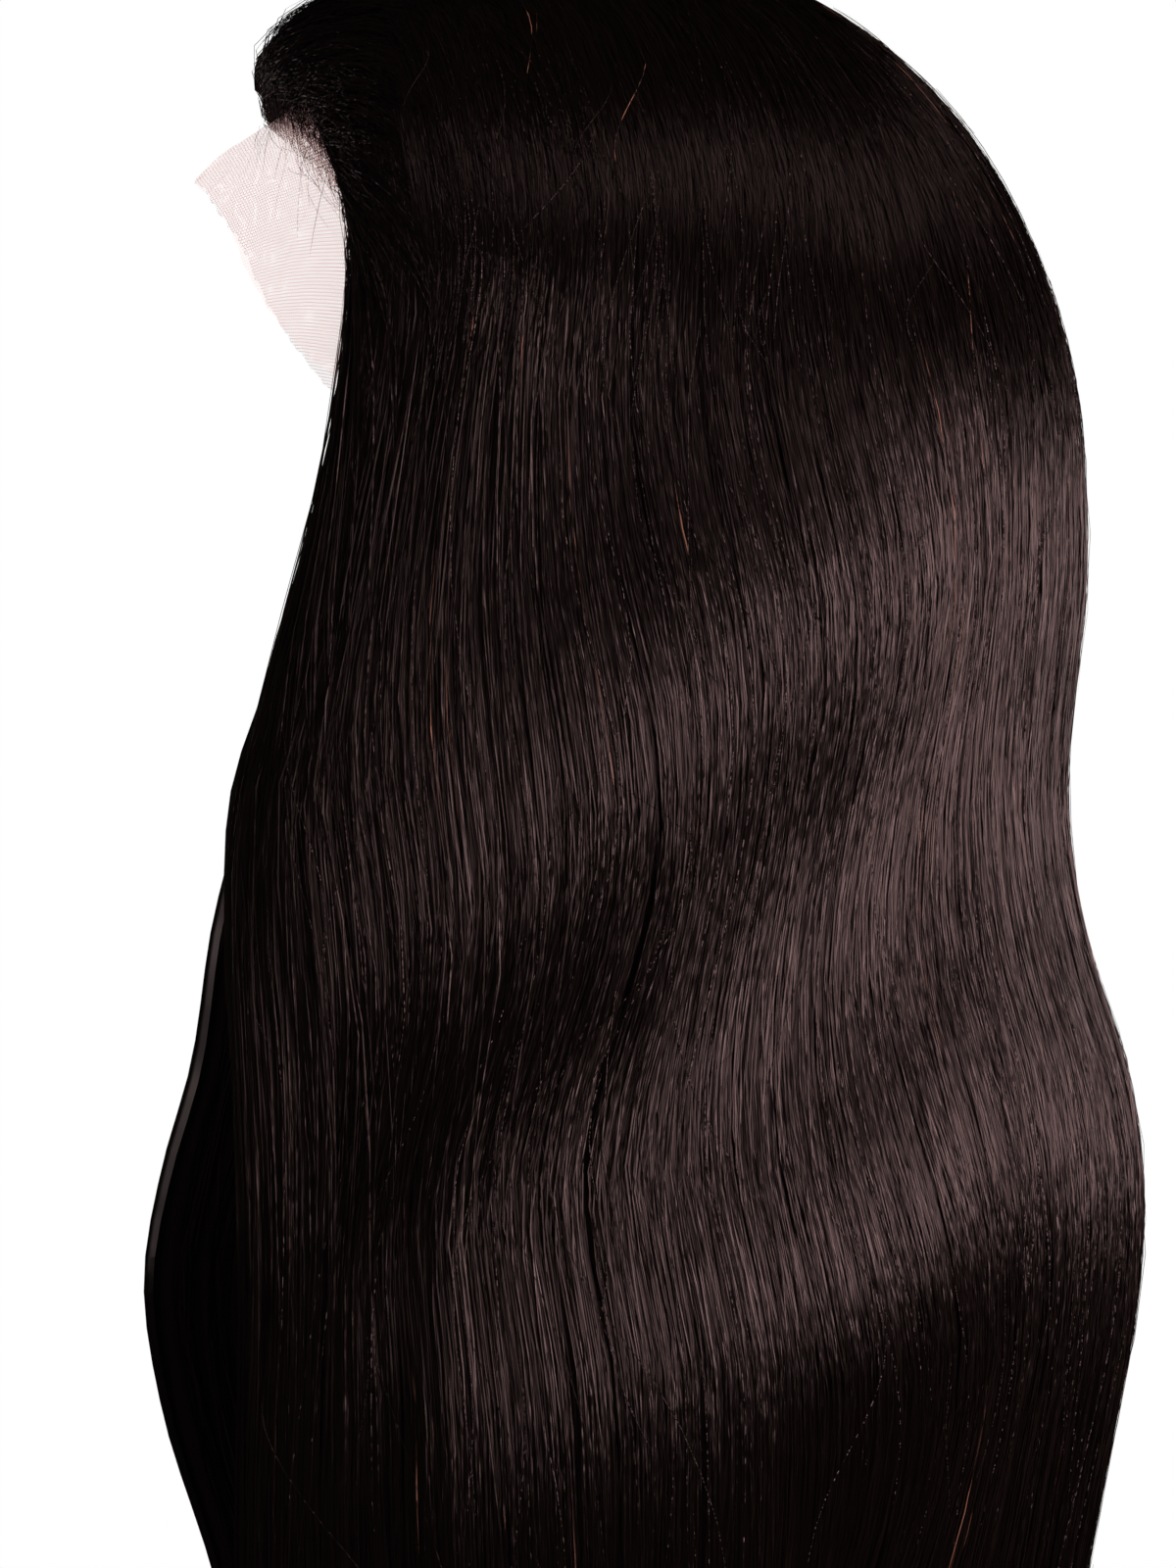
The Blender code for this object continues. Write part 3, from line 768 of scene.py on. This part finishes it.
def makeInnerHair(v):
    # the bulk of the hanging hair, spread through the wall from the outside to the hollow
    n = v["count"]
    angle = rng.uniform(-1, 1, n) * (hairForm["frontAngle"] + 0.4)
    start = rng.uniform(0.82, 1.0, n)
    end = strandEnds(angle, v["endSpread"]) - cutShort(n, *v["short"])
    share = np.where(rng.random(n) < v["byHollow"], rng.uniform(0.93, 1.0, n), rng.uniform(0.08, 1.0, n))
    looseness = v["looseness"] * rng.gamma(1.5, 0.6, n)
    paths, normals, a, _ = layStrands(angle, start, end, 0 * angle, v["steps"], looseness)
    wall = wallAt(a, paths[..., 2])
    paths = clearOfCap(paths - normals * (wall * share[:, None])[..., None], 3.0 * mm)
    width = taperWidth(rng.uniform(*v["width"], n), v["steps"], 0.5, 0.25)
    roll = rng.normal(0, v["rollSpread"], n)
    return splitPieces("inner", paths, normals, width, roll, plainTones(n), sectionOf(angle))


hairlineHair = {
    "count": 3300, "steps": 14, "width": (0.20 * mm, 0.34 * mm),
    "rootBand": (-3.0, 5.0),       # degrees before and behind the hairline that the roots are spread over
    "sweep": (3.0, 42.0),          # degrees round the cap that the strands are swept back
    "rollShare": 0.26,             # share of a strand that rises from the lace and rolls over
    "puff": 2.2 * mm,
    "overhang": 6.0 * mm,          # how far the strands at the middle stand out before they roll back
    "reach": (0.35, 1.25),         # how far down the strand runs, in t
    "rollSpread": 0.6,
}


def hairlineRoots(share, side, back):
    # on the lace: share 0 at its middle, 1 at its side ends; back in degrees behind the hairline
    out = share * laceForm["out"][-1]
    turn = curveThrough(laceForm["out"], laceForm["hairline"], out) + back
    return onCap(out * side, turn, 1.0 * mm)


def edgeMeeting(roots):
    # t at which the hair's front edge is level with each root
    steps = np.linspace(0.02, 1.6, 400)
    edge = hairSurface(np.full(400, hairForm["frontAngle"]), steps)[:, 2]
    return np.interp(-roots[:, 2], -edge, steps)


def arch(s):
    # half a sine: 0 at s = 0, 1 half way and 0 from s = 1 on
    return np.sin(math.pi * np.clip(s, 0, 1))


def makeHairlineHair(v):
    # root (1 - j) + target j: roots on the lace, and the target on the side's surface that a strand joins
    # after it has risen and rolled back over the front edge
    n = v["count"]
    share = rng.random(n) ** 1.5
    side = np.where(rng.random(n) < 0.5, -1.0, 1.0)
    front, back = v["rootBand"]
    roots = hairlineRoots(share, side, front * (1 - share) + (back - front * (1 - share)) * rng.random(n))
    meeting = np.maximum(edgeMeeting(roots) * (0.35 + 0.65 * ease(share, 0, 0.7)), 0.05)
    q = np.linspace(0, 1, v["steps"])[None, :]
    low, high = v["sweep"]
    sweep = (rng.uniform(0, 1, n) ** 1.3 * (high - low) + low) * (1 - 0.55 * ease(share, 0.2, 0.9))
    end = np.minimum(meeting + rng.uniform(*v["reach"], n), 2.02)
    t = meeting[:, None] + (end - meeting)[:, None] * q ** 1.35
    edge = hairForm["frontAngle"]
    a = (edge + 0.3 - sweep[:, None] * ease(q, 0.0, 0.75)) * side[:, None]
    a = np.clip(swayed(a, sideSway(a, hairSurface(a, t)[..., 2])), -edge - 0.4, edge + 0.4)
    surface, normal = hairSurface(a, t), surfaceNormal(a, t)
    depth = 1.2 * mm * rng.random(n)[:, None] * ease(q, 0.1, 0.5) - 0.3 * mm
    target = surface + normal * (sideWave(a, surface[..., 2]) - depth)[..., None]
    joined = ease(q, 0, v["rollShare"])[..., None]
    lift = (v["puff"] * rng.uniform(0.2, 1.0, n))[:, None] * arch(q / v["rollShare"] / 1.6)
    out = v["overhang"] * rng.uniform(0.35, 1.1, n) * (1 - ease(share, 0.08, 0.5))
    bulge = out[:, None] * arch(q / (1.25 * v["rollShare"]))
    paths = roots[:, None, :] * (1 - joined) + target * joined + normal * lift[..., None]
    paths = paths + np.array([0, -1, 0.1]) * bulge[..., None]
    paths = clearOfCap(smoothPaths(paths, 1), 0.9 * mm)
    width = taperWidth(rng.uniform(*v["width"], n), v["steps"], 0.7, 0.3)
    roll = rng.normal(0, v["rollSpread"], n)
    owner = np.where(side > 0, "hair_left", "hair_right")
    return splitPieces("hairline", paths, normal, width, roll, plainTones(n), owner)


looseHair = {
    "count": 1000, "steps": 10, "width": (0.14 * mm, 0.24 * mm), "lift": (0.05 * mm, 1.3 * mm),
    "crossing": 5.0,               # degrees that a loose strand strays across the others
    "rollSpread": 0.8,
    # share of loose strands that are copper, with painted glints
    "paintedGlint": 0.015,
}


def makeLooseHair(v):
    # single strands that have come away from the surface and cross the others
    n = v["count"]
    angle = rng.uniform(-1, 1, n) * (hairForm["frontAngle"] - 3)
    start = rng.uniform(0.15, 1.9, n)
    end = np.minimum(start + rng.uniform(0.12, 0.6, n), 2.03)
    t = downSteps(start, end, v["steps"])
    q = np.linspace(0, 1, v["steps"])[None, :]
    stray = rng.normal(0, v["crossing"], n)[:, None]
    a = angle[:, None] + stray * (q - 0.5) + 0.4 * stray * np.sin(q * math.pi * 1.3 + stray)
    edge = hairForm["frontAngle"]
    a = np.clip(swayed(a, sideSway(a, hairSurface(a, t)[..., 2])), -edge, edge)
    surface, normal = hairSurface(a, t), surfaceNormal(a, t)
    low, high = v["lift"]
    lift = low + (high - low) * rng.random(n)[:, None] ** 2.2 * (0.25 + np.abs(np.sin(q * 2.4 + stray)))
    paths = surface + normal * (sideWave(a, surface[..., 2]) + lift)[..., None]
    width = taperWidth(rng.uniform(*v["width"], n), v["steps"], 0.5, 0.4)
    tone = mixedTones(n, v["paintedGlint"])
    roll = rng.normal(0, v["rollSpread"], n)
    return splitPieces("loose", paths, normal, width, roll, tone, sectionOf(angle))


babyHair = {
    "count": 420, "steps": 7, "width": (0.10 * mm, 0.17 * mm), "length": (7 * mm, 24 * mm),
    "rollSpread": 0.6,
}


def makeBabyHair(v):
    # short fine hairs on the lace in front of the hairline, bent down and back
    n = v["count"]
    share = rng.random(n)
    side = np.where(rng.random(n) < 0.5, -1.0, 1.0)
    roots = hairlineRoots(share, side, rng.uniform(-4.0, 1.0, n) * rng.random(n))
    outward = unit(roots - capForm["centre"])
    aside = unit(np.stack([side, 0.9 + 0 * side, -0.2 - 1.6 * share], axis=-1) + rng.normal(0, 0.45, (n, 3)))
    along = unit(aside - outward * np.sum(aside * outward, axis=1, keepdims=True))
    bend = unit(np.cross(along, outward)) * rng.normal(0, 0.5, n)[:, None]
    q = np.linspace(0, 1, v["steps"])[None, :, None]
    length = rng.uniform(*v["length"], n)[:, None, None]
    paths = roots[:, None, :] + length * (along[:, None, :] * q + bend[:, None, :] * q ** 2)
    paths = besideCap(paths, 1.0 * mm) + outward[:, None, :] * length * 0.16 * np.sin(math.pi * q * 0.8)
    normals = np.repeat(outward[:, None, :], v["steps"], axis=1)
    width = taperWidth(rng.uniform(*v["width"], n), v["steps"], 0.9, 0.3)
    roll = rng.normal(0, v["rollSpread"], n)
    owner = np.where(side > 0, "hair_left", "hair_right")
    return splitPieces("baby", paths, normals, width, roll, rng.random(n) * 0.9, owner)


hairPieces = makeOuterHair(outerHair) + makeInnerHair(innerHair) + makeHairlineHair(hairlineHair)
hairPieces += makeLooseHair(looseHair) + makeBabyHair(babyHair)
print("strands:", sum(len(piece.data.polygons) * 2 for piece in hairPieces), "triangles")

hairBed = {
    "columns": 120, "rows": 60, "depth": 1.3 * mm, "groove": 0.25 * mm, "end": 1.98,
    "gap": 0.05,                   # degrees between a bed and the line where two sections meet
    "sideEnd": 134.8,              # degrees round to the front edge
    "draw": 0.7,                   # degrees that the front edge stands back near the parting
    "mapShare": 0.97,              # the bed's share of the map, short of the copper tones with their painted glints
}


def makeHairBed(section, low, high, v):
    # the closed dark wall that the strands lie on: outside, inside and rims of one section
    columns, rows = v["columns"], v["rows"]
    angle = np.linspace(low, high, columns)[:, None] + np.zeros((1, rows))
    end = v["end"] + 0.008 * np.sin(np.arange(columns) * 0.9 + 2 * np.sin(np.arange(columns) * 0.37))
    t = downSteps(np.full(columns, 0.004), end, rows)
    byEdge = ease(np.abs(angle), 110, v["sideEnd"]) * (1 - ease(t, 0.2, 0.55))
    angle = angle - np.sign(angle) * v["draw"] * byEdge
    surface, normal = hairSurface(angle, t), surfaceNormal(angle, t)
    swing = 1.5 * np.sin(angle * 2.1) + 0.8 * np.sin(t * 5)
    groove = v["groove"] * (0.5 + 0.5 * np.sin(angle * 7.3 + swing)) * ease(t, 0.05, 0.5)
    depth = v["depth"] * (1 - 0.6 * ease(np.abs(angle), 126, 134)) + groove
    outside = surface + normal * (sideWave(angle, surface[..., 2]) - depth)[..., None]
    outside = clearOfCap(outside, 3.4 * mm)
    hung = outside - normal * np.maximum(wallAt(angle, outside[..., 2]) - 3 * mm, 1.5 * mm)[..., None]
    free = ease(-outside[..., 2], 0.088, 0.135)[..., None]
    inside = clearOfCap(besideCap(outside, 2.1 * mm) * (1 - free) + hung * free, 2.1 * mm)
    uv = np.stack([(angle - low) / (high - low), t / 2], axis=-1).reshape(-1, 2) * v["mapShare"]
    piece = addWall("bed_" + section[5:], outside, inside, uv, bedMaterial)
    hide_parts(section)


meeting = hairForm["backHalfAngle"]
makeHairBed("hair_left", meeting + hairBed["gap"], hairBed["sideEnd"], hairBed)
makeHairBed("hair_right", -hairBed["sideEnd"], -meeting - hairBed["gap"], hairBed)
makeHairBed("hair_back", -meeting + hairBed["gap"], meeting - hairBed["gap"], hairBed)
print("hair beds made")

# Cap, lace and nape band

mapSize = 0.5                      # metres of cloth across the whole map
laceFront = {
    "columns": 170, "rows": 90, "seam": 93.0, "earCutout": 62.0, "standOff": 0.5 * mm,
    "onCap": 0.55,                 # share of the rows that lie on the form, from the seam to the hairline
    "curl": 1.2,                   # power of the curve by which the free part rises from the form
    "ripple": 1.4 * mm, "rippleWidth": 22.5, "wrinkle": 0.7 * mm, "cutWander": 0.5,
    "cell": 1.0 * mm, "thread": 0.14,      # pitch of the net, and its thread as a share of the pitch
    "tone": (0.95, 0.74, 0.70), "roughness": 0.6,
    "paintedBacklight": (0.24, 0.12, 0.115),   # painted glow: an emission that stands in for the light behind passing through the sheer thread
}


def surfaceMap(points):
    # how far each point lies across and along the cloth, in metres, summed over the steps between points
    across = np.linalg.norm(np.diff(points, axis=0), axis=-1)
    along = np.linalg.norm(np.diff(points, axis=1), axis=-1)
    u = np.concatenate([np.zeros((1, points.shape[1])), np.cumsum(across, axis=0)])
    v = np.concatenate([np.zeros((points.shape[0], 1)), np.cumsum(along, axis=1)], axis=1)
    return np.stack([u - u[points.shape[0] // 2], v], axis=-1).reshape(-1, 2)


def meshArea(piece):
    # all its faces together, in square metres
    return sum(face.area for face in piece.data.polygons)


def netGroup():
    # a net of six-sided cells: the distance to the nearest cell's edge, against the thread's width
    group, inside, outside = newGroup(
        "hexNet",
        [("Map", "NodeSocketVector", None), ("Cell", "NodeSocketFloat", 0.001),
         ("Thread", "NodeSocketFloat", 0.2)],
        [("Mask", "NodeSocketFloat")],
    )
    nodes, links = group.nodes, group.links

    def vector(operation, first, second=None, scale=None):
        # a tuple goes straight into its socket, an output is linked to it
        node = nodes.new("ShaderNodeVectorMath")
        node.operation = operation
        for index, value in enumerate((first, second)):
            if isinstance(value, tuple):
                node.inputs[index].default_value = value
            elif value is not None:
                links.new(value, node.inputs[index])
        if scale is not None:
            links.new(scale, node.inputs["Scale"])
        return node

    root3 = math.sqrt(3)
    perMetre = mathNode(nodes, links, "DIVIDE", 1.0, inside.outputs["Cell"])
    inCells = vector("SCALE", inside.outputs["Map"], scale=perMetre).outputs[0]
    near = []
    for shift in (500.0, 500.5):   # two grids of cells, half a cell apart and far enough off to be positive
        moved = vector("ADD", inCells, (shift, shift * root3, 0.5)).outputs[0]
        wrapped = vector("MODULO", moved, (1.0, root3, 1.0)).outputs[0]
        centred = vector("SUBTRACT", wrapped, (0.5, root3 / 2, 0.5)).outputs[0]
        apart = vector("ABSOLUTE", vector("MULTIPLY", centred, (1.0, 1.0, 0.0)).outputs[0]).outputs[0]
        slant = vector("DOT_PRODUCT", apart, (0.5, root3 / 2, 0.0)).outputs["Value"]
        split = nodes.new("ShaderNodeSeparateXYZ")
        links.new(apart, split.inputs[0])
        near.append(mathNode(nodes, links, "MAXIMUM", slant, split.outputs["X"]))
    toCentre = mathNode(nodes, links, "MINIMUM", near[0], near[1])
    toEdge = mathNode(nodes, links, "SUBTRACT", 0.5, toCentre)
    halfThread = mathNode(nodes, links, "MULTIPLY", inside.outputs["Thread"], 0.5)
    mask = mathNode(nodes, links, "LESS_THAN", toEdge, halfThread)
    links.new(mask, outside.inputs["Mask"])
    return group


def netMaterial(name, group, look, back):
    # back is the alpha between the threads: 0 for a bare net, 1 for a close one
    material, nodes, links = newMaterial(name)
    shader = nodes["Principled BSDF"]
    uvMap = nodes.new("ShaderNodeUVMap")
    uvMap.uv_map = "OFBake"
    metres = nodes.new("ShaderNodeVectorMath")
    metres.operation = "SCALE"
    metres.inputs["Scale"].default_value = mapSize
    links.new(uvMap.outputs["UV"], metres.inputs[0])
    net = nodes.new("ShaderNodeGroup")
    net.node_tree = group
    links.new(metres.outputs[0], net.inputs["Map"])
    net.inputs["Cell"].default_value = look["cell"]
    net.inputs["Thread"].default_value = look["thread"]
    shader.inputs["Base Color"].default_value = (*look["tone"], 1)
    shader.inputs["Roughness"].default_value = look["roughness"]
    if back < 1:
        alpha = nodes.new("ShaderNodeMapRange")
        alpha.inputs["To Min"].default_value = back
        links.new(net.outputs["Mask"], alpha.inputs["Value"])
        links.new(alpha.outputs["Result"], shader.inputs["Alpha"])
    bump = nodes.new("ShaderNodeBump")
    bump.inputs["Strength"].default_value = 0.6
    bump.inputs["Distance"].default_value = 0.15 * mm
    links.new(net.outputs["Mask"], bump.inputs["Height"])
    links.new(bump.outputs[0], shader.inputs["Normal"])
    return material


def addCloth(name, points, material):
    # one sheet of cloth as a grid; its map lies flat, mapSize metres across
    quads = gridQuads(*points.shape[:2])
    uv = surfaceMap(points) / mapSize
    return addMesh(name, points.reshape(-1, 3), quads, uv[quads.ravel()], material)


def makeLaceFront(v, group):
    # from the seam to the uncut edge, which stands free in ripples and small wrinkles
    out = np.linspace(-v["earCutout"], v["earCutout"], v["columns"])[:, None]
    side = np.abs(out)
    line = curveThrough(laceForm["out"], laceForm["hairline"], side)
    wander = np.sin(out * 1.9) + 0.6 * np.sin(out * 4.3 + 1) + 0.5 * np.sin(out * 8.1 + 2)
    edge = curveThrough(laceForm["out"], laceForm["edge"], side) + v["cutWander"] * 0.5 * wander
    row = np.linspace(0, 1, v["rows"])[None, :]
    held = np.clip(row / v["onCap"], 0, 1)
    free = np.clip((row - v["onCap"]) / (1 - v["onCap"]), 0, 1)
    turn = v["seam"] + (line - v["seam"]) * held + (edge - line) * free
    lift = np.maximum(curveThrough(laceForm["out"], laceForm["lift"], side), 0) * mm
    lift = lift + v["ripple"] * np.sin(2 * math.pi * out / v["rippleWidth"]) * lift / lift.max()
    crease = np.sin(out * 0.62 + 3 * free) * np.sin(out * 0.21 + 5 * free + 1)
    crease = crease + 0.4 * np.sin(out * 1.3 - 4 * free)
    wrinkle = v["wrinkle"] * crease * ease(free, 0.05, 0.6) * (0.25 + 0.75 * lift / lift.max())
    lifts = v["standOff"] + lift * free ** v["curl"] + np.maximum(wrinkle, -0.4 * mm)
    points = onCap(out + 0 * turn, turn, lifts)
    material = netMaterial("laceNet", group, v, back=0.0)
    shader = material.node_tree.nodes["Principled BSDF"]
    # the lace glows with painted light, for the light behind it that shines through
    shader.inputs["Emission Color"].default_value = (*v["paintedBacklight"], 1)
    shader.inputs["Emission Strength"].default_value = 1.0
    piece = addCloth("lace_sheet", points[::-1], material)
    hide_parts("lace_front")
    return piece


capNet = {
    "columns": 100, "rows": 110, "start": 93.3, "standOff": 0.3 * mm,
    "weftSpacing": 3.6, "weftHeight": 0.35 * mm,   # rows of sewn hair, in degrees apart
    "cell": 1.6 * mm, "thread": 0.34, "tone": (0.020, 0.014, 0.012), "roughness": 0.75,
}
napeRim = {"out": (0, 25, 45, 62), "turn": (201, 200, 196, 184)}   # the cap's lower edge, in degrees


def makeCapNet(v, group):
    # from the lace's seam over the crown to the nape, with a ridge along each weft
    out = np.linspace(-laceFront["earCutout"], laceFront["earCutout"], v["columns"])[:, None]
    rim = curveThrough(napeRim["out"], napeRim["turn"], np.abs(out))
    turn = v["start"] + (rim - v["start"]) * np.linspace(0, 1, v["rows"])[None, :]
    ridge = 0.5 + 0.5 * np.cos(2 * math.pi * (turn - v["start"]) / v["weftSpacing"])
    points = onCap(out + 0 * turn, turn, v["standOff"] + v["weftHeight"] * ridge ** 4)
    material = netMaterial("capNet", group, v, back=1.0)
    piece = addCloth("cap_sheet", points, material)
    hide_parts("cap_net")
    return piece


napeBand = {
    "columns": 140, "rows": 12, "halfSpan": 56.0, "width": 7.0, "wall": 2.0 * mm,
    "ribs": 70, "ribHeight": 0.25 * mm, "roughness": 0.7,
    "tone": (0.020, 0.016, 0.015), "lightTone": (0.045, 0.037, 0.035),
}


def makeNapeBand(v):
    # a closed strap on the cap's form, thicker along its middle, with cosine ribs across it
    out = np.linspace(-v["halfSpan"], v["halfSpan"], v["columns"] * 2)[:, None]
    top = curveThrough(napeRim["out"], napeRim["turn"], np.abs(out)) + 0.3
    turn = top + v["width"] * np.linspace(0, 1, v["rows"])[None, :]
    rib = v["ribHeight"] * (0.5 + 0.5 * np.cos(2 * math.pi * out / (2 * v["halfSpan"]) * v["ribs"]))
    crown = np.sin(math.pi * np.linspace(0, 1, v["rows"]))[None, :] ** 0.4
    outside = onCap(out + 0 * turn, turn, v["wall"] * (0.72 + 0.28 * crown) - rib)
    inside = onCap(out + 0 * turn, turn, 0.1 * mm + 0 * rib)
    material, nodes, links = newMaterial("napeElastic")
    shader = nodes["Principled BSDF"]
    shader.inputs["Roughness"].default_value = v["roughness"]
    place = nodes.new("ShaderNodeTexCoord")
    weave = nodes.new("ShaderNodeTexNoise")
    weave.inputs["Scale"].default_value = 900.0
    links.new(place.outputs["Object"], weave.inputs["Vector"])
    shade = mixNode(nodes, links, weave.outputs["Fac"], v["tone"], v["lightTone"])
    links.new(shade, shader.inputs["Base Color"])
    piece = addWall("elastic_band", outside, inside, surfaceMap(outside) / mapSize, material)
    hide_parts("nape_band")


net = netGroup()
lace = makeLaceFront(laceFront, net)
cap = makeCapNet(capNet, net)
makeNapeBand(napeBand)
print("lace", round(meshArea(lace), 4), "cap", round(meshArea(cap), 4), "square metres")
